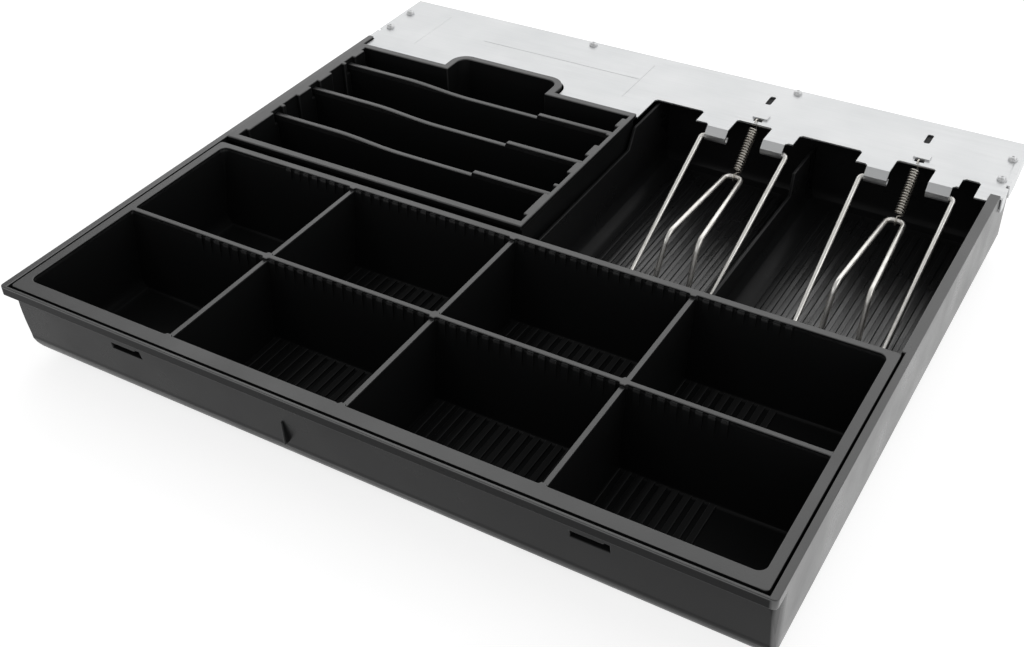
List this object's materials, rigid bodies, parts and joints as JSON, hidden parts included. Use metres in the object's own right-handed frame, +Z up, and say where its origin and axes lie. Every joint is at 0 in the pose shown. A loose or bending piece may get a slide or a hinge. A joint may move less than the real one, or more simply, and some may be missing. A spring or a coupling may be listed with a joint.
{
  "type": "cash drawer insert",
  "caption": "Moulded cash drawer insert with a lift-out coin tray, a divided upright note box, and flat note bays with sprung wire clips on a steel rear plate.",
  "frame": {"origin": "middle of the insert's bounding box, on the surface it stands on", "axes": "+X to the right along the front lip, +Y towards the rear plate, +Z up"},
  "size_m": [0.3828, 0.3524, 0.05],
  "materials": {
    "tub_plastic": "fine moulded grain, satin",
    "tray_plastic": "fine moulded grain, satin",
    "plate_steel": "dull zinc-plated sheet",
    "screw_steel": "zinc plated",
    "clip_wire": "bright nickel-plated wire",
    "spring_wire": "bare spring wire"
  },
  "bodies": {
    "tub_body": {"tub": "tub_plastic", "rear_plate": "plate_steel", "plate_screws": "screw_steel"},
    "coin_tray_body": {"coin_tray": "tray_plastic"},
    "note_box_body": {"note_box": "tray_plastic"},
    "divider_front_body": {"note_divider_front": "tray_plastic"},
    "divider_middle_body": {"note_divider_middle": "tray_plastic"},
    "divider_rear_body": {"note_divider_rear": "tray_plastic"},
    "clip_left_body": {"note_clip_left": "clip_wire"},
    "clip_right_body": {"note_clip_right": "clip_wire"},
    "spring_left_body": {"clip_spring_left": "spring_wire"},
    "spring_right_body": {"clip_spring_right": "spring_wire"}
  },
  "joints": [
    {"name": "coin_tray_lift", "type": "slide", "parent": "tub_body", "child": "coin_tray_body", "axis": [0, 0, 1], "range_m": [0, 0.06]},
    {"name": "note_box_lift", "type": "slide", "parent": "tub_body", "child": "note_box_body", "axis": [0, 0, 1], "range_m": [0, 0.06]},
    {"name": "divider_front_lift", "type": "slide", "parent": "note_box_body", "child": "divider_front_body", "axis": [0, 0, 1], "range_m": [0, 0.055]},
    {"name": "divider_middle_lift", "type": "slide", "parent": "note_box_body", "child": "divider_middle_body", "axis": [0, 0, 1], "range_m": [0, 0.055]},
    {"name": "divider_rear_lift", "type": "slide", "parent": "note_box_body", "child": "divider_rear_body", "axis": [0, 0, 1], "range_m": [0, 0.055]},
    {"name": "clip_left_lift", "type": "hinge", "parent": "tub_body", "child": "clip_left_body", "pos_m": [0.0563, 0.11515, 0.042], "axis": [-1, 0, 0], "range_deg": [0, 85], "deforming": ["clip_spring_left"]},
    {"name": "clip_right_lift", "type": "hinge", "parent": "tub_body", "child": "clip_right_body", "pos_m": [0.1448, 0.11515, 0.042], "axis": [-1, 0, 0], "range_deg": [0, 85], "deforming": ["clip_spring_right"]},
    {"name": "spring_left_swing", "type": "hinge", "parent": "tub_body", "child": "spring_left_body", "pos_m": [0.0563, 0.1311, 0.047], "axis": [-1, 0, 0], "range_deg": [0, 45]},
    {"name": "spring_right_swing", "type": "hinge", "parent": "tub_body", "child": "spring_right_body", "pos_m": [0.1448, 0.1311, 0.047], "axis": [-1, 0, 0], "range_deg": [0, 45]}
  ],
  "couplings": [
    {"joint": "spring_left_swing", "follows": "clip_left_lift", "ratio": 0.5142},
    {"joint": "spring_right_swing", "follows": "clip_right_lift", "ratio": 0.5142}
  ]
}
